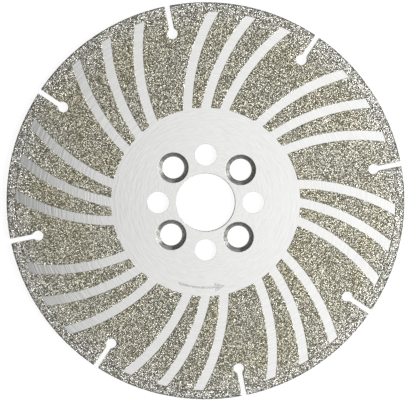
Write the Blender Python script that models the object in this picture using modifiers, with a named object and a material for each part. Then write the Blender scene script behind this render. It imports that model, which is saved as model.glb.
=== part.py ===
# Diamond grinding wheel: a flat steel core with electroplated diamond grit on both faces and round the rim.
#
# Metres, +Z up. The wheel lies flat, centred on the Z axis, with its back grit on z = 0 and its front facing up.
# Nothing on it moves: the grit is bonded to the core.

import math

import bmesh
import bpy
from mathutils import Matrix, Vector

# Wheel
WHEEL_RADIUS = 0.0762  # 6 inch wheel
CORE_THICKNESS = 0.0020
GRIT_THICKNESS = 0.00045  # 40 grit crystals, one layer deep
SEAT_GAP = 0.00005  # plating to the core's face
EDGE_GAP = 0.00015  # rim plating to the core's edge, and rim plating to the fields

# Bore and mounting holes
BORE_RADIUS = 0.0111125  # 7/8 inch arbor
BORE_CHAMFER = 0.0002
HOLE_CIRCLE_RADIUS = 0.01825
HOLE_RADIUS = 0.0042
COUNTERSINK_RADIUS = 0.0059  # 90 degree countersink
HOLES_EACH_WAY = 4
FRONT_SUNK_START = math.radians(43.2)  # first hole countersunk from the front
BACK_SUNK_START = 0.0  # first hole countersunk from the back, plain on the front

# Keyhole slots
SLOT_COUNT = 8
SLOT_START = math.radians(11.25)
SLOT_WIDTH = 0.00185
KEYHOLE_CENTRE = 0.0655
KEYHOLE_RADIUS = 0.0020
NECK_FILLET = 0.0010

# Bare bands that part the grit fields. Every band is one circular arc, swept back as it runs outwards.
HUB_RADIUS = 0.0362  # bare steel inside this
BAND_TIP_RADIUS = 0.07285  # closed ring of grit outside this
BAND_WIDTH = 0.00345
BAND_ARC_RADIUS = 0.0732
BAND_ARC_CENTRE = 0.0753  # distance of the arc's centre from the wheel's axis
BAND_PITCH = math.radians(11.25)
BAND_ARC_LAG = math.radians(61.53)  # how far the arc's centre lies behind the slot that the bands follow

# Facets
CORE_SEGMENTS = 96
BORE_SEGMENTS = 64
HOLE_SEGMENTS = 28
FACET_ANGLE = math.radians(2.9)
KEYHOLE_POINTS = 18
NECK_POINTS = 4
RIM_STEPS = 16

# Heights, worked out from the above
CORE_LOW = GRIT_THICKNESS + SEAT_GAP
CORE_HIGH = CORE_LOW + CORE_THICKNESS
FRONT_LOW = CORE_HIGH + SEAT_GAP
WHEEL_HEIGHT = FRONT_LOW + GRIT_THICKNESS
FIELD_RADIUS = BAND_TIP_RADIUS - EDGE_GAP / 2
RIM_INNER_RADIUS = BAND_TIP_RADIUS + EDGE_GAP / 2
CORE_RADIUS = WHEEL_RADIUS - GRIT_THICKNESS - EDGE_GAP
FLANGE_FACE_RADIUS = HUB_RADIUS - 0.0002  # flat that a flange clamps on, just clear of the grit
CUTTER_MARGIN = 0.002


def clear_scene():
    for obj in list(bpy.data.objects):
        bpy.data.objects.remove(obj, do_unlink=True)


def new_collection(name):
    collection = bpy.data.collections.new(name)
    bpy.context.scene.collection.children.link(collection)
    return collection


def new_material(name, colour, roughness, metallic):
    material = bpy.data.materials.new(name)
    material.use_nodes = True
    shader = material.node_tree.nodes["Principled BSDF"]
    shader.inputs["Base Color"].default_value = (*colour, 1.0)
    shader.inputs["Roughness"].default_value = roughness
    shader.inputs["Metallic"].default_value = metallic
    material.diffuse_color = (*colour, 1.0)
    return material


def add_object(name, data, collection, material=None):
    obj = bpy.data.objects.new(name, data)
    collection.objects.link(obj)
    if material:
        data.materials.append(material)
    return obj


def polar(radius, angle):
    return Vector((radius * math.cos(angle), radius * math.sin(angle)))


def arc(centre, radius, start, end, points):
    """Points on an arc, both ends included."""
    step = (end - start) / (points - 1)
    return [centre + polar(radius, start + step * i) for i in range(points)]


def arc_points(start, end):
    return max(3, math.ceil(abs(end - start) / FACET_ANGLE) + 1)


# --- Outlines ---------------------------------------------------------------


def band_edge(slot_angle, band, side, inner, outer):
    """One edge of a bare band, from radius inner to radius outer.

    band counts the pitches past the slot, and side is +1 for the edge ahead of the band and -1 for the one behind.
    """
    centre_angle = slot_angle + band * BAND_PITCH - BAND_ARC_LAG
    radius = BAND_ARC_RADIUS + side * BAND_WIDTH / 2

    def turn(wheel_radius):
        # angle at the arc's centre between the wheel's axis and the point at this wheel radius
        along = BAND_ARC_CENTRE**2 + radius**2 - wheel_radius**2
        return math.acos(along / (2 * BAND_ARC_CENTRE * radius))

    start = centre_angle + math.pi - turn(inner)
    end = centre_angle + math.pi - turn(outer)
    return arc(polar(BAND_ARC_CENTRE, centre_angle), radius, start, end, arc_points(start, end))


def rim_arc_between(first, last, radius):
    """The inner points of the arc round the wheel's axis from first to last, its ends left out."""
    start = math.atan2(first.y, first.x)
    end = math.atan2(last.y, last.x)
    end += 2 * math.pi * round((start - end) / (2 * math.pi))
    return arc(Vector((0, 0)), radius, start, end, arc_points(start, end))[1:-1]


def keyhole_outline(outer):
    """A keyhole slot along +X, from its mouth at x = outer round the keyhole and back."""
    half = SLOT_WIDTH / 2
    reach = KEYHOLE_RADIUS + NECK_FILLET
    fillet_x = KEYHOLE_CENTRE + math.sqrt(reach**2 - (half + NECK_FILLET) ** 2)
    fillet_centre = Vector((fillet_x, half + NECK_FILLET))
    lean = math.atan2(half + NECK_FILLET, fillet_x - KEYHOLE_CENTRE)
    neck = arc(fillet_centre, NECK_FILLET, -math.pi / 2, lean - math.pi, NECK_POINTS)
    loop = arc(Vector((KEYHOLE_CENTRE, 0)), KEYHOLE_RADIUS, lean, 2 * math.pi - lean, KEYHOLE_POINTS)
    other_neck = [Vector((p.x, -p.y)) for p in reversed(neck)]
    return [Vector((outer, half)), *neck, *loop[1:-1], *other_neck, Vector((outer, -half))]


def turned(points, angle):
    turn = Matrix.Rotation(angle, 2)
    return [turn @ p for p in points]


def plain_field_outline(slot_angle, band):
    """The grit field between one band and the next."""
    behind = band_edge(slot_angle, band, 1, HUB_RADIUS, FIELD_RADIUS)
    ahead = band_edge(slot_angle, band + 1, -1, HUB_RADIUS, FIELD_RADIUS)
    hub = rim_arc_between(behind[0], ahead[0], HUB_RADIUS)
    tip = rim_arc_between(ahead[-1], behind[-1], FIELD_RADIUS)
    return [*hub, *ahead, *tip, *reversed(behind)]


def slotted_field_outline(slot_angle):
    """The wide grit field round a keyhole slot, where one band is left out."""
    behind = band_edge(slot_angle, -1, 1, HUB_RADIUS, FIELD_RADIUS)
    ahead = band_edge(slot_angle, 1, -1, HUB_RADIUS, FIELD_RADIUS)
    mouth = math.sqrt(FIELD_RADIUS**2 - (SLOT_WIDTH / 2) ** 2)
    slot = turned(keyhole_outline(mouth), slot_angle)
    hub = rim_arc_between(behind[0], ahead[0], HUB_RADIUS)
    tip_ahead = rim_arc_between(ahead[-1], slot[0], FIELD_RADIUS)
    tip_behind = rim_arc_between(slot[-1], behind[-1], FIELD_RADIUS)
    return [*hub, *ahead, *tip_ahead, *slot, *tip_behind, *reversed(behind)]


# --- Solids -----------------------------------------------------------------


def flat_sheet(name, outline, low, thickness, collection, material=None):
    """A closed sheet with this outline, its lower face at z = low."""
    curve = bpy.data.curves.new(name, "CURVE")
    curve.dimensions = "2D"
    curve.fill_mode = "BOTH"
    curve.extrude = thickness / 2
    spline = curve.splines.new("POLY")
    spline.points.add(len(outline) - 1)
    for point, place in zip(spline.points, outline):
        point.co = (place.x, place.y, 0.0, 1.0)
    spline.use_cyclic_u = True
    drawn = add_object(name + "_curve", curve, collection)
    sheet = as_mesh(drawn, name, collection, material)
    sheet.location.z = low + thickness / 2
    return sheet


def as_mesh(source, name, collection, material=None):
    """A welded mesh object made from what source evaluates to, in place of source."""
    bpy.context.view_layer.update()
    graph = bpy.context.evaluated_depsgraph_get()
    mesh = bpy.data.meshes.new_from_object(source.evaluated_get(graph))
    mesh.name = name
    mesh.materials.clear()
    bm = bmesh.new()
    bm.from_mesh(mesh)
    bmesh.ops.remove_doubles(bm, verts=bm.verts, dist=1e-7)
    bm.to_mesh(mesh)
    bm.free()
    place = source.matrix_world.copy()
    bpy.data.objects.remove(source, do_unlink=True)
    made = add_object(name, mesh, collection, material)
    made.matrix_world = place
    shade_round(mesh)
    return made


def shade_round(mesh):
    mesh.shade_smooth()
    mesh.set_sharp_from_angle(angle=math.radians(25))


def turned_cutter(name, profile, segments, collection):
    """A solid of revolution about Z from (radius, height) points that run top to bottom."""
    mesh = bpy.data.meshes.new(name)
    rows = [(radius, 0.0, height) for radius, height in profile]
    mesh.from_pydata(rows, [(i, i + 1) for i in range(len(rows) - 1)], [])
    cutter = add_object(name, mesh, collection)
    screw = cutter.modifiers.new("Turn", "SCREW")
    screw.axis = "Z"
    screw.steps = segments
    screw.render_steps = segments
    screw.use_merge_vertices = True
    screw.merge_threshold = 0.00001
    return cutter


def hide_cutter(cutter):
    cutter.hide_render = True
    cutter.display_type = "WIRE"


def bore_cutter(collection):
    flare = BORE_RADIUS + BORE_CHAMFER + CUTTER_MARGIN
    profile = [
        (0.0, CORE_HIGH + CUTTER_MARGIN),
        (flare, CORE_HIGH + CUTTER_MARGIN),
        (BORE_RADIUS, CORE_HIGH - BORE_CHAMFER),
        (BORE_RADIUS, CORE_LOW + BORE_CHAMFER),
        (flare, CORE_LOW - CUTTER_MARGIN),
        (0.0, CORE_LOW - CUTTER_MARGIN),
    ]
    return turned_cutter("bore_cutter", profile, BORE_SEGMENTS, collection)


def hole_cutter(name, angle, from_front, collection):
    """A through hole with its countersink on one face."""
    flare = COUNTERSINK_RADIUS + CUTTER_MARGIN
    sink_depth = COUNTERSINK_RADIUS - HOLE_RADIUS
    half = CORE_THICKNESS / 2
    profile = [
        (0.0, half + CUTTER_MARGIN),
        (flare, half + CUTTER_MARGIN),
        (HOLE_RADIUS, half - sink_depth),
        (HOLE_RADIUS, -half - CUTTER_MARGIN),
        (0.0, -half - CUTTER_MARGIN),
    ]
    cutter = turned_cutter(name, profile, HOLE_SEGMENTS, collection)
    cutter.location = (*polar(HOLE_CIRCLE_RADIUS, angle), CORE_LOW + half)
    if not from_front:
        cutter.rotation_euler.x = math.pi
    return cutter


def slot_cutter(name, angle, collection):
    outline = turned(keyhole_outline(WHEEL_RADIUS + CUTTER_MARGIN), angle)
    low = CORE_LOW - CUTTER_MARGIN
    return flat_sheet(name, outline, low, CORE_THICKNESS + 2 * CUTTER_MARGIN, collection)


def make_core(parts, cutters, material):
    bore_cutter(cutters)
    for i in range(HOLES_EACH_WAY):
        quarter = 2 * math.pi * i / HOLES_EACH_WAY
        hole_cutter(f"front_sunk_cutter_{i + 1}", FRONT_SUNK_START + quarter, True, cutters)
        hole_cutter(f"back_sunk_cutter_{i + 1}", BACK_SUNK_START + quarter, False, cutters)
    for i in range(SLOT_COUNT):
        slot_cutter(f"slot_cutter_{i + 1}", slot_angle_of(i), cutters)
    for cutter in cutters.objects:
        hide_cutter(cutter)

    blank_mesh = bpy.data.meshes.new("blank")
    bm = bmesh.new()
    bmesh.ops.create_cone(
        bm,
        cap_ends=True,
        segments=CORE_SEGMENTS,
        radius1=CORE_RADIUS,
        radius2=CORE_RADIUS,
        depth=CORE_THICKNESS,
    )
    for cap in [face for face in bm.faces if len(face.verts) == CORE_SEGMENTS]:
        bmesh.ops.inset_individual(bm, faces=[cap], thickness=CORE_RADIUS - FLANGE_FACE_RADIUS)
    bm.to_mesh(blank_mesh)
    bm.free()
    blank = add_object("blank", blank_mesh, parts)
    blank.location.z = CORE_LOW + CORE_THICKNESS / 2
    cut = blank.modifiers.new("Bore, holes and slots", "BOOLEAN")
    cut.operation = "DIFFERENCE"
    cut.operand_type = "COLLECTION"
    cut.collection = cutters
    cut.solver = "EXACT"
    return as_mesh(blank, "steel_core", parts, material)


def slot_angle_of(index):
    return SLOT_START + 2 * math.pi * index / SLOT_COUNT


def make_fields(parts, material, face):
    """All the grit fields of the front, as named sheets."""
    fields = []
    for i in range(SLOT_COUNT):
        angle = slot_angle_of(i)
        outlines = {
            f"{face}_slotted_field_{i + 1}": slotted_field_outline(angle),
            f"{face}_plain_field_{i + 1}a": plain_field_outline(angle, 1),
            f"{face}_plain_field_{i + 1}b": plain_field_outline(angle, 2),
        }
        for name, outline in outlines.items():
            fields.append(flat_sheet(name, outline, FRONT_LOW, GRIT_THICKNESS, parts, material))
    return fields


def turn_over(fields):
    """Turns the sheets over about the first slot's centre line, so that they lie on the back."""
    axis = Vector((math.cos(SLOT_START), math.sin(SLOT_START), 0.0))
    middle = Matrix.Translation((0.0, 0.0, WHEEL_HEIGHT / 2))
    flip = middle @ Matrix.Rotation(math.pi, 4, axis) @ middle.inverted()
    bpy.context.view_layer.update()
    for field in fields:
        field.matrix_world = flip @ field.matrix_world


def make_rim_arc(index, parts, material):
    """Rim grit between one slot and the next: a channel that wraps round the core's edge."""
    slot_half_angle = math.asin(SLOT_WIDTH / 2 / RIM_INNER_RADIUS)
    start = slot_angle_of(index) + slot_half_angle
    sweep = 2 * math.pi / SLOT_COUNT - 2 * slot_half_angle
    inside_edge = CORE_RADIUS + EDGE_GAP
    profile = [
        (RIM_INNER_RADIUS, 0.0),
        (WHEEL_RADIUS, 0.0),
        (WHEEL_RADIUS, WHEEL_HEIGHT),
        (RIM_INNER_RADIUS, WHEEL_HEIGHT),
        (RIM_INNER_RADIUS, FRONT_LOW),
        (inside_edge, FRONT_LOW),
        (inside_edge, GRIT_THICKNESS),
        (RIM_INNER_RADIUS, GRIT_THICKNESS),
    ]
    bm = bmesh.new()
    corners = [bm.verts.new((*polar(radius, start), height)) for radius, height in profile]
    section = bm.faces.new(corners)
    bmesh.ops.spin(
        bm,
        geom=[*corners, *section.edges, section],
        cent=(0.0, 0.0, 0.0),
        axis=(0.0, 0.0, 1.0),
        angle=sweep,
        steps=RIM_STEPS,
    )
    bmesh.ops.recalc_face_normals(bm, faces=bm.faces)
    mesh = bpy.data.meshes.new(f"rim_grit_arc_{index + 1}")
    bm.to_mesh(mesh)
    bm.free()
    shade_round(mesh)
    return add_object(mesh.name, mesh, parts, material)


def main():
    clear_scene()
    parts = new_collection("diamond_grinding_wheel")
    cutters = new_collection("cutters")
    steel = new_material("ground_steel", (0.72, 0.72, 0.71), 0.3, 1.0)
    field_grit = new_material("diamond_grit", (0.30, 0.29, 0.24), 0.6, 0.3)
    rim_grit = new_material("rim_diamond_grit", (0.38, 0.37, 0.34), 0.55, 0.4)

    make_core(parts, cutters, steel)
    for i in range(SLOT_COUNT):
        make_rim_arc(i, parts, rim_grit)
    make_fields(parts, field_grit, "front")
    turn_over(make_fields(parts, field_grit, "back"))


main()
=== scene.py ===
import math

import bpy
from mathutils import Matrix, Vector


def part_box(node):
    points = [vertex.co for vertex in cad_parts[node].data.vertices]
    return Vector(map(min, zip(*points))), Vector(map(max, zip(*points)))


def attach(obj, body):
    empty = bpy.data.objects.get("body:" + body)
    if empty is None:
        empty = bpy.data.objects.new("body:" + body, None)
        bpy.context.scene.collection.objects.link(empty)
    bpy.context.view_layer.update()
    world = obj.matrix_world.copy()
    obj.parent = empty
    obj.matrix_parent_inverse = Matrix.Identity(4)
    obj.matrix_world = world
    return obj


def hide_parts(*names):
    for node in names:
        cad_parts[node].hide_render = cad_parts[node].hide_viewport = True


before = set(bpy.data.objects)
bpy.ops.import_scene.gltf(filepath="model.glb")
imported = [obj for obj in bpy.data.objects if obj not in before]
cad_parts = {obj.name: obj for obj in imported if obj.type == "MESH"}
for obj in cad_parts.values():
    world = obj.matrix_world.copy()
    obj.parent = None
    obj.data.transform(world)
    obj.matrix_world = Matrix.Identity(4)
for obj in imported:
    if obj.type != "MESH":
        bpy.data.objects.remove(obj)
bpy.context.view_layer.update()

wheelRadius = max(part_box(name)[1].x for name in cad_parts)
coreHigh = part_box("steel_core")[1].z


def reachOf(node):
    # how near the wheel's axis a CAD node comes, and how far from it
    reaches = [corner.co.xy.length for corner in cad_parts[node].data.vertices]
    return min(reaches), max(reaches)


boreRadius = reachOf("steel_core")[0]
seamRadius = (reachOf("front_plain_field_1a")[1] + reachOf("rim_grit_arc_1")[0]) / 2


class Wire:
    # a socket in a material or the world, which takes part in Python sums
    def __init__(self, tree, socket):
        self.tree = tree
        self.socket = socket

    def node(self, kind, settings, sockets, output=0):
        made = self.tree.nodes.new("ShaderNode" + kind)
        for key, value in settings.items():
            if key == "stops":
                fillRamp(made.color_ramp, value)
            else:
                setattr(made, key, value)
        for key, value in sockets.items():
            if isinstance(value, Wire):
                self.tree.links.new(value.socket, made.inputs[key])
            else:
                made.inputs[key].default_value = value
        return Wire(self.tree, made.outputs[output])

    def sum(self, operation, first, second=0.0):
        return self.node("Math", {"operation": operation}, {0: first, 1: second})

    def __add__(self, other):
        return self.sum("ADD", self, other)

    __radd__ = __add__

    def __sub__(self, other):
        return self.sum("SUBTRACT", self, other)

    def __rsub__(self, other):
        return self.sum("SUBTRACT", other, self)

    def __mul__(self, other):
        return self.sum("MULTIPLY", self, other)

    __rmul__ = __mul__


def fillRamp(ramp, stops):
    while len(ramp.elements) < len(stops):
        ramp.elements.new(0.5)
    for element, (place, colour) in zip(ramp.elements, stops):
        element.position = place
        element.color = (*colour, 1.0)


def startMaterial(name, metallic, roughness):
    material = bpy.data.materials.new(name)
    material.use_nodes = True
    tree = material.node_tree
    shader = tree.nodes["Principled BSDF"]
    shader.inputs["Metallic"].default_value = metallic
    shader.inputs["Roughness"].default_value = roughness
    place = Wire(tree, tree.nodes.new("ShaderNodeTexCoord").outputs["Object"])
    return material, shader, place


def wireTo(value, shader, socket):
    value.tree.links.new(value.socket, shader.inputs[socket])


def offAxis(place):
    # the level way from the wheel's axis to a place, and how long it is
    flat = place.node("VectorMath", {"operation": "MULTIPLY"}, {0: place, 1: (1.0, 1.0, 0.0)})
    return flat, place.node("VectorMath", {"operation": "LENGTH"}, {0: flat}, 1)


steelFinish = {
    "dull": (0.81, 0.81, 0.80),
    "bright": (0.89, 0.89, 0.88),
    "dullAt": 0.38,  # places on the ramp from dull to bright
    "brightAt": 0.60,
    "roughness": 0.12,
    "roughnessRange": 0.08,
    # lines per metre of radius, how fast they change on the way round, depth in metres, share of the shade
    "scratches": [
        (6500.0, 9.0, 0.0000025, 0.35),
        (2600.0, 8.0, 0.0000050, 0.35),
        (1000.0, 6.0, 0.0000130, 0.15),
    ],
    "handlingPerMetre": 55.0,  # faint cloudy marks
    "handlingShade": 0.15,
    "handlingRoughness": 0.4,  # shares of the marks and of the finest scratches in the roughness
    "scratchRoughness": 0.6,
    "seam": (0.25, 0.235, 0.18),  # dirt and painted shade where the rim grit meets the fields
    "seamWidth": 0.00025,
}


def groundSteel():
    look = steelFinish
    material, shader, place = startMaterial("groundSteel", 1.0, look["roughness"])
    flat, reach = offAxis(place)
    heading = place.node("VectorMath", {"operation": "NORMALIZE"}, {0: flat})
    headingX = place.node("SeparateXYZ", {}, {0: heading}, 0)
    headingY = place.node("SeparateXYZ", {}, {0: heading}, 1)

    handled = {"Vector": place, "Scale": look["handlingPerMetre"], "Detail": 4.0}
    handling = place.node("TexNoise", {}, handled)
    lines = []
    height = 0.0
    shade = handling * look["handlingShade"]
    for perMetre, stretch, depth, share in look["scratches"]:
        along = {0: reach * perMetre, 1: headingX * stretch, 2: headingY * stretch}
        spot = place.node("CombineXYZ", {}, along)
        lines.append(place.node("TexNoise", {}, {"Vector": spot, "Scale": 1.0, "Detail": 1.0}))
        height = lines[-1] * depth + height
        shade = lines[-1] * share + shade
    stops = [(look["dullAt"], look["dull"]), (look["brightAt"], look["bright"])]
    clean = place.node("ValToRGB", {"stops": stops}, {0: shade})
    # a thin ring across the bare bands at the seam, dirt and painted shade in one colour
    offSeam = place.sum("ABSOLUTE", reach - seamRadius)
    ends = {"From Min": look["seamWidth"] / 2, "From Max": look["seamWidth"], "To Min": 1.0, "To Max": 0.0}
    seamDirtAndShadeMask = place.node("MapRange", {}, {"Value": offSeam, **ends})
    seam = (*look["seam"], 1.0)
    colour = place.node("Mix", {"data_type": "RGBA"}, {0: seamDirtAndShadeMask, 6: clean, 7: seam}, 2)
    wireTo(colour, shader, "Base Color")
    unevenness = look["scratchRoughness"] * lines[0] + look["handlingRoughness"] * handling
    wireTo(look["roughness"] + look["roughnessRange"] * (unevenness - 0.5), shader, "Roughness")
    wireTo(place.node("Bump", {}, {"Height": height, "Distance": 1.0}), shader, "Normal")
    return material


# the countersinks, the holes and the slots are machined and painted dark, a painted shade on their cones
# and walls; the bore and the lips are satin
cutFinishes = {
    "machinedSteel": {
        "colour": (0.22, 0.215, 0.205),
        "worn": (0.38, 0.375, 0.36),
        "metallic": 1.0,
        "roughness": 0.24,
        "toolMarksPerMetre": 2600.0,
        "markDepth": 0.00001,
    },
    "satinSteel": {
        "colour": (0.25, 0.25, 0.245),
        "worn": (0.31, 0.31, 0.305),
        "metallic": 0.35,
        "roughness": 0.55,
        "toolMarksPerMetre": 1400.0,
        "markDepth": 0.000004,
    },
}
cutWear = {"grimePerMetre": 900.0, "cleanAt": 0.35, "wornAt": 0.7, "roughnessRange": 0.2}


def cutSteel(name):
    look = cutFinishes[name]
    material, shader, place = startMaterial(name, look["metallic"], look["roughness"])
    z = place.node("SeparateXYZ", {}, {0: place}, 2)
    level = place.node("CombineXYZ", {}, {2: z * look["toolMarksPerMetre"]})
    marks = place.node("TexNoise", {}, {"Vector": level, "Scale": 1.0, "Detail": 1.0})
    specks = {"Vector": place, "Scale": cutWear["grimePerMetre"], "Detail": 3.0}
    grime = place.node("TexNoise", {}, specks)
    stops = [(cutWear["cleanAt"], look["colour"]), (cutWear["wornAt"], look["worn"])]
    tone = 0.5 * marks + 0.5 * grime
    wireTo(place.node("ValToRGB", {"stops": stops}, {0: tone}), shader, "Base Color")
    wireTo(look["roughness"] + cutWear["roughnessRange"] * (grime - 0.5), shader, "Roughness")
    bump = {"Height": marks, "Distance": look["markDepth"], "Strength": 1.0}
    wireTo(place.node("Bump", {}, bump), shader, "Normal")
    return material


gritFinish = {
    "crystalsPerMetre": 2750.0,
    # the crevices between crystals are painted near black, the bond with painted shade over it
    "gap": (0.020, 0.018, 0.010),
    "gapWidth": 0.30,  # the share of a crystal over which it rises from the gap
    "dark": (0.10, 0.093, 0.058),
    "middle": (0.53, 0.498, 0.366),
    "pale": (0.97, 0.94, 0.82),
    "darkShare": 0.38,  # of all crystals, and as many again are pale
    "hueSpread": 0.06,  # from a brownish crystal to a greenish one
    "drift": 0.15,  # how far small clumps lean to dark or pale
    "clumpsPerMetre": 260.0,
    "patchesPerMetre": 42.0,  # broad patches with more or less colour
    "patchChroma": 1.12,
    "patchSpread": 1.4,
    "rimGreyShare": 0.9,  # towards the rim the olive tint fades to a lighter grey, a painted sheen
    "rimGreyFrom": 0.86,  # shares of the wheel's radius
    "rimGreyTo": 0.99,
    "greySaturation": 0.35,
    "greyValue": 1.3,
    "rimMetallic": 0.45,
    "rimFlatness": 0.25,
    "soiledFrom": 0.989,  # the outermost edge is painted dark, a painted shade on its rounding
    "soiledTo": 0.999,
    "soiledShare": 0.75,
    "tilt": 0.85,  # slope of the steepest facets
    "step": 0.00012,  # metres by which crystals differ in height, and by which the gaps lie lower
    "metallic": 0.25,
    "roughness": 0.36,
    "roughnessRange": 0.42,
}


def diamondGrit():
    look = gritFinish
    material, shader, place = startMaterial("diamondGrit", look["metallic"], look["roughness"])
    cells = {"Vector": place, "Scale": look["crystalsPerMetre"], "Randomness": 1.0}
    tint = place.node("TexVoronoi", {"feature": "F1"}, cells, "Color")
    centre = place.node("TexVoronoi", {"feature": "F1"}, cells, "Position")
    edge = place.node("TexVoronoi", {"feature": "DISTANCE_TO_EDGE"}, cells)
    red = place.node("SeparateColor", {}, {0: tint}, 0)
    green = place.node("SeparateColor", {}, {0: tint}, 1)
    blue = place.node("SeparateColor", {}, {0: tint}, 2)
    drift = place.node("TexNoise", {}, {"Vector": place, "Scale": look["clumpsPerMetre"], "Detail": 3.0})
    patch = place.node("TexNoise", {}, {"Vector": place, "Scale": look["patchesPerMetre"], "Detail": 2.0})

    share = look["darkShare"]
    stops = [(share, look["dark"]), (0.5, look["middle"]), (1.0 - share, look["pale"])]
    plain = place.node("ValToRGB", {"stops": stops}, {0: red + look["drift"] * (drift - 0.5)})
    hue = 0.5 + look["hueSpread"] * (green - 0.5)
    chroma = look["patchChroma"] + look["patchSpread"] * (patch - 0.5)
    body = place.node("HueSaturation", {}, {"Hue": hue, "Saturation": chroma, "Color": plain})
    # each crystal darkens towards its rim into the painted crevice shade
    inside = place.node("MapRange", {}, {"Value": edge, "From Max": look["gapWidth"]})
    gap = (*look["gap"], 1.0)
    crystal = place.node("Mix", {"data_type": "RGBA"}, {0: inside, 6: gap, 7: body}, 2)

    reach = offAxis(place)[1]
    # near the rim the colour is greyed and lightened, a painted sheen
    ends = {"From Min": look["rimGreyFrom"] * wheelRadius, "From Max": look["rimGreyTo"] * wheelRadius}
    nearRim = place.node("MapRange", {}, {"Value": reach, **ends})
    sheenSettings = {"Saturation": look["greySaturation"], "Value": look["greyValue"], "Color": crystal}
    sheenTinted = place.node("HueSaturation", {}, sheenSettings)
    sheenAmount = nearRim * look["rimGreyShare"]
    withSheen = place.node("Mix", {"data_type": "RGBA"}, {0: sheenAmount, 6: crystal, 7: sheenTinted}, 2)
    # the outermost edge takes the dark crevice colour, a painted shade
    edgeSpan = {"From Min": look["soiledFrom"] * wheelRadius, "From Max": look["soiledTo"] * wheelRadius}
    atEdge = place.node("MapRange", {}, {"Value": reach, **edgeSpan})
    edgeShade = atEdge * look["soiledShare"]
    colour = place.node("Mix", {"data_type": "RGBA"}, {0: edgeShade, 6: withSheen, 7: gap}, 2)
    wireTo(colour, shader, "Base Color")
    wireTo(look["roughness"] + look["roughnessRange"] * (green - 0.5), shader, "Roughness")
    wireTo(look["metallic"] + look["rimMetallic"] * nearRim, shader, "Metallic")

    # each crystal is a flat facet, tipped its own way and standing at its own height
    away = place.node("VectorMath", {"operation": "SUBTRACT"}, {0: place, 1: centre})
    lean = place.node("VectorMath", {"operation": "SUBTRACT"}, {0: tint, 1: (0.5, 0.5, 0.5)})
    facet = place.node("VectorMath", {"operation": "DOT_PRODUCT"}, {0: away, 1: lean}, 1)
    jagged = 2.0 * look["tilt"] * facet + look["step"] * (blue + inside)
    height = jagged * (1.0 - look["rimFlatness"] * nearRim)
    wireTo(place.node("Bump", {}, {"Height": height, "Distance": 1.0}), shader, "Normal")
    return material


def selectOnly(piece):
    bpy.ops.object.select_all(action="DESELECT")
    piece.select_set(True)
    bpy.context.view_layer.objects.active = piece


weldDistance = 0.000002


def copyOfNode(node, name):
    # the CAD meshes are loose triangles, so the copy is welded
    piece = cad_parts[node].copy()
    piece.data = piece.data.copy()
    piece.name = name
    piece.data.name = name
    piece.parent = None
    for key in [key for key in piece.keys() if key.startswith("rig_")]:
        del piece[key]
    bpy.context.scene.collection.objects.link(piece)
    piece.data.materials.clear()
    selectOnly(piece)
    bpy.ops.object.mode_set(mode="EDIT")
    bpy.ops.mesh.select_all(action="SELECT")
    bpy.ops.mesh.remove_doubles(threshold=weldDistance)
    bpy.ops.object.mode_set(mode="OBJECT")
    return piece


def applyModifier(piece, kind, **settings):
    modifier = piece.modifiers.new(kind.title(), kind)
    for key, value in settings.items():
        setattr(modifier, key, value)
    selectOnly(piece)
    bpy.ops.object.modifier_apply(modifier=modifier.name)


def selectFaces(piece, wanted):
    # leaves edit mode on with the faces that wanted says yes to selected
    selectOnly(piece)
    bpy.ops.object.mode_set(mode="EDIT")
    bpy.ops.mesh.select_mode(type="FACE")
    bpy.ops.mesh.select_all(action="DESELECT")
    bpy.ops.object.mode_set(mode="OBJECT")
    for face in piece.data.polygons:
        face.select = wanted(face)
    bpy.ops.object.mode_set(mode="EDIT")


def finishPiece(piece, nodes):
    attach(piece, "root")
    if nodes:
        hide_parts(*nodes)
    return piece


coreShape = {
    "mergeAngle": math.radians(0.5),  # triangles flatter than this to each other become one face
    "edgeWidth": 0.00005,
    "edgeSegments": 1,
    "sharpAngle": math.radians(35),
    "smoothAngle": math.radians(20),
    "flatNormal": 0.999,
    "lipNormal": 0.8,  # the broken edge of a countersink leans less than its cone
    "boreEdge": 0.001,  # how far from the bore the bore's own finish reaches
}


def makeCore(groundMaterial, shadedSinkMaterial, boreMaterial):
    look = coreShape
    core = copyOfNode("steel_core", "steelCore")
    bpy.ops.object.mode_set(mode="EDIT")
    bpy.ops.mesh.select_all(action="SELECT")
    bpy.ops.mesh.dissolve_limited(angle_limit=look["mergeAngle"])
    bpy.ops.object.mode_set(mode="OBJECT")
    applyModifier(
        core,
        "BEVEL",
        width=look["edgeWidth"],
        segments=look["edgeSegments"],
        limit_method="ANGLE",
        angle_limit=look["sharpAngle"],
    )
    for material in (groundMaterial, shadedSinkMaterial, boreMaterial):
        core.data.materials.append(material)
    for face in core.data.polygons:
        if abs(face.normal.z) > look["flatNormal"]:
            face.material_index = 0  # ground
        elif abs(face.normal.z) > look["lipNormal"]:
            face.material_index = 2  # satin, on the lips of the countersinks
        elif face.center.xy.length > boreRadius + look["boreEdge"]:
            face.material_index = 1  # machined, painted dark as shade
        else:
            face.material_index = 2  # satin, in the bore
    selectOnly(core)
    bpy.ops.object.shade_smooth_by_angle(angle=look["smoothAngle"])
    for face in core.data.polygons:
        face.use_smooth = face.material_index > 0
    return finishPiece(core, ["steel_core"])


arrowShape = {
    "radius": 0.0328,
    "width": 0.0009,
    "thickness": 0.00004,
    "start": math.radians(251),
    "sweep": math.radians(25),
    "steps": 24,
    "headLength": 0.0040,
    "headWidth": 0.0036,
}
etchFinish = {
    "pale": (0.43, 0.43, 0.425),
    "dark": (0.33, 0.33, 0.325),
    "paleAt": 0.65,
    "darkAt": 0.35,
    "roughness": 0.45,
    "roughnessRange": 0.25,
    "pitsPerMetre": 3000.0,
}


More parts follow.
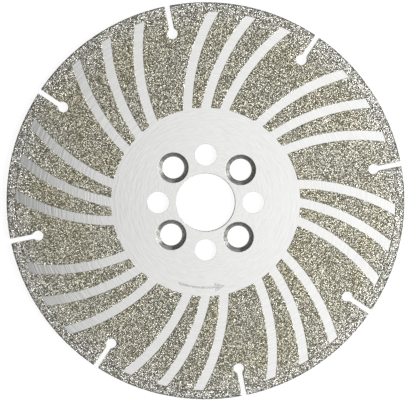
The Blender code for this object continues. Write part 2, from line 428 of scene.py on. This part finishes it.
def etchedSteel():
    look = etchFinish
    material, shader, place = startMaterial("etchedSteel", 1.0, look["roughness"])
    pits = place.node("TexNoise", {}, {"Vector": place, "Scale": look["pitsPerMetre"], "Detail": 2.0})
    stops = [(look["darkAt"], look["dark"]), (look["paleAt"], look["pale"])]
    wireTo(place.node("ValToRGB", {"stops": stops}, {0: pits}), shader, "Base Color")
    wireTo(look["roughness"] + look["roughnessRange"] * (pits - 0.5), shader, "Roughness")
    return material


def makeArrow(material):
    # the etched turning arrow low on the hub: an edge spun round the wheel's axis, with a head on its end
    look = arrowShape
    bpy.ops.object.select_all(action="DESELECT")
    bpy.ops.mesh.primitive_plane_add(size=look["width"])
    arrow = bpy.context.object
    arrow.name = "etchedArrow"
    bpy.ops.object.mode_set(mode="EDIT")
    bpy.ops.mesh.select_all(action="SELECT")
    bpy.ops.mesh.delete(type="ONLY_FACE")
    bpy.ops.object.mode_set(mode="OBJECT")
    for corner in arrow.data.vertices:
        corner.select = corner.co.y > 0
    bpy.ops.object.mode_set(mode="EDIT")
    bpy.ops.mesh.select_mode(type="VERT")
    bpy.ops.mesh.delete(type="VERT")
    bpy.ops.mesh.select_all(action="SELECT")
    bpy.ops.transform.translate(value=(look["radius"], look["width"] / 2, coreHigh))
    bpy.ops.mesh.spin(steps=look["steps"], angle=-look["sweep"], center=(0, 0, 0), axis=(0, 0, 1))
    bpy.ops.object.mode_set(mode="OBJECT")

    bpy.ops.object.select_all(action="DESELECT")
    bpy.ops.mesh.primitive_circle_add(vertices=3, radius=1.0, fill_type="NGON")
    head = bpy.context.object
    head.scale = (look["headWidth"] / math.sqrt(3), look["headLength"] / 1.5, 1.0)
    reach = look["headLength"] / 3  # from the head's middle to its base
    away = look["sweep"] + reach / look["radius"]
    head.location = (look["radius"] * math.cos(away), look["radius"] * math.sin(away), coreHigh)
    head.rotation_euler.z = away
    bpy.ops.object.transform_apply(location=True, rotation=True, scale=True)

    bpy.ops.object.select_all(action="DESELECT")
    head.select_set(True)
    arrow.select_set(True)
    bpy.context.view_layer.objects.active = arrow
    bpy.ops.object.join()
    arrow.rotation_euler.z = look["start"]
    bpy.ops.object.transform_apply(location=True, rotation=True, scale=True)
    applyModifier(arrow, "SOLIDIFY", thickness=look["thickness"], offset=0.0)
    bpy.ops.object.mode_set(mode="EDIT")
    bpy.ops.mesh.select_all(action="SELECT")
    bpy.ops.mesh.normals_make_consistent(inside=False)
    bpy.ops.object.mode_set(mode="OBJECT")
    arrow.data.materials.append(material)
    return finishPiece(arrow, [])


gritShape = {
    "cell": 0.00022,  # mesh size, about half a crystal
    "grain": 0.00042,  # one crystal
    "relief": 0.00020,
    "level": 0.42,  # the share of the relief that stands above the CAD surface
    "undersideNormal": 0.9,
    "undersideMerge": math.radians(20),
    "seamClosing": 0.00012,
}


def grainTexture():
    texture = bpy.data.textures.new("grain", "VORONOI")
    texture.noise_scale = gritShape["grain"]
    texture.distance_metric = "DISTANCE"
    texture.weight_1 = 1.0
    return texture


def roughen(piece, texture):
    look = gritShape
    applyModifier(
        piece,
        "DISPLACE",
        texture=texture,
        texture_coords="LOCAL",
        strength=-look["relief"],
        mid_level=look["level"],
    )


def makeField(node, texture, material):
    # one grit field: fine mesh on the outside and round the edge, one flat face against the core
    look = gritShape
    field = copyOfNode(node, node.title().replace("_", ""))
    applyModifier(field, "REMESH", mode="VOXEL", voxel_size=look["cell"], adaptivity=0.0)
    inward = -1.0 if node.startswith("front") else 1.0
    selectFaces(field, lambda face: face.normal.z * inward > look["undersideNormal"])
    bpy.ops.mesh.dissolve_limited(angle_limit=look["undersideMerge"])
    bpy.ops.object.mode_set(mode="OBJECT")
    roughen(field, texture)
    field.data.materials.append(material)
    return finishPiece(field, [node])


def makeRimArc(node, texture, material):
    # its inner walls move in to close the seam with the fields
    look = gritShape
    rim = copyOfNode(node, node.title().replace("_", ""))
    inner = reachOf(node)[0]
    selectFaces(rim, lambda face: face.center.xy.length < inner)
    shrink = 1.0 - look["seamClosing"] / inner
    bpy.ops.transform.resize(value=(shrink, shrink, 1.0), center_override=(0.0, 0.0, 0.0))
    bpy.ops.object.mode_set(mode="OBJECT")
    applyModifier(rim, "REMESH", mode="VOXEL", voxel_size=look["cell"], adaptivity=0.0)
    roughen(rim, texture)
    rim.data.materials.append(material)
    return finishPiece(rim, [node])


viewSetup = {
    "place": (-0.0093, 0.0424, 0.6126),
    "turn": (-4.174, -0.944, 0.06),  # degrees
    "lens": 138.2,
    "nearest": 0.01,
}


def makeCamera():
    camera = bpy.data.cameras.new("camera")
    camera.lens = viewSetup["lens"]
    camera.clip_start = viewSetup["nearest"]
    holder = bpy.data.objects.new("camera", camera)
    holder.location = viewSetup["place"]
    holder.rotation_euler = [math.radians(angle) for angle in viewSetup["turn"]]
    bpy.context.scene.collection.objects.link(holder)
    bpy.context.scene.camera = holder


studio = {
    "tableGlow": 0.92,  # a light table: most of its brightness is its own, so that shadows on it are faint
    "tableColour": (0.06, 0.06, 0.06),
    "tableRoughness": 0.7,
    "tableSize": 6.0,
    "tableDrop": 0.0002,  # clear of the lowest crystals
    # brightness of the surroundings from far left (0) over straight up (0.5) to far right (1)
    "surroundings": [
        (0.0, 0.12), (0.442, 0.20), (0.474, 0.85), (0.50, 0.91), (0.55, 1.06), (0.75, 1.08), (1.0, 1.15)
    ],
    # low lamps rake the grit, and the flat steel mirrors them past the camera
    "sideLamps": {"rightLamp": ((0.36, -0.01, 0.27), 7.8), "leftLamp": ((-0.7, 0.5, 0.6), 0.25)},
    "sideLampSize": 0.5,
}


def makeSideLamp(name, place, power):
    lamp = bpy.data.lights.new(name, "AREA")
    lamp.size = studio["sideLampSize"]
    lamp.energy = power
    holder = bpy.data.objects.new(name, lamp)
    holder.location = place
    holder.rotation_euler = (-Vector(place)).to_track_quat("-Z", "Y").to_euler()
    bpy.context.scene.collection.objects.link(holder)


def makeStudio():
    world = bpy.data.worlds.new("studio")
    world.use_nodes = True
    tree = world.node_tree
    heading = Wire(tree, tree.nodes.new("ShaderNodeTexCoord").outputs["Generated"])
    across = heading.node("SeparateXYZ", {}, {0: heading}, 0)
    stops = [(place, (glow, glow, glow)) for place, glow in studio["surroundings"]]
    glow = heading.node("ValToRGB", {"stops": stops}, {0: 0.5 * across + 0.5})
    wireTo(glow, tree.nodes["Background"], "Color")
    bpy.context.scene.world = world
    bpy.context.scene.view_settings.view_transform = "Standard"
    for name, (place, power) in studio["sideLamps"].items():
        makeSideLamp(name, place, power)

    bpy.ops.object.select_all(action="DESELECT")
    bpy.ops.mesh.primitive_plane_add(size=studio["tableSize"], location=(0, 0, -studio["tableDrop"]))
    floor = bpy.context.object
    floor.name = "floor"
    paint, shader, place = startMaterial("paleFloor", 0.0, studio["tableRoughness"])
    shader.inputs["Base Color"].default_value = (*studio["tableColour"], 1.0)
    shader.inputs["Emission Color"].default_value = (1.0, 1.0, 1.0, 1.0)
    shader.inputs["Emission Strength"].default_value = studio["tableGlow"]
    floor.data.materials.append(paint)


makeCamera()
makeStudio()
print("camera, light and floor are up")

core = makeCore(groundSteel(), cutSteel("machinedSteel"), cutSteel("satinSteel"))
print("core:", len(core.data.polygons), "faces")

makeArrow(etchedSteel())
print("arrow etched")

grain = grainTexture()
gritPaint = diamondGrit()
faceCount = 0
for node in sorted(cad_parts):
    if "_field_" in node:
        faceCount += len(makeField(node, grain, gritPaint).data.polygons)
    elif node.startswith("rim_grit"):
        faceCount += len(makeRimArc(node, grain, gritPaint).data.polygons)
print("grit:", faceCount, "faces")
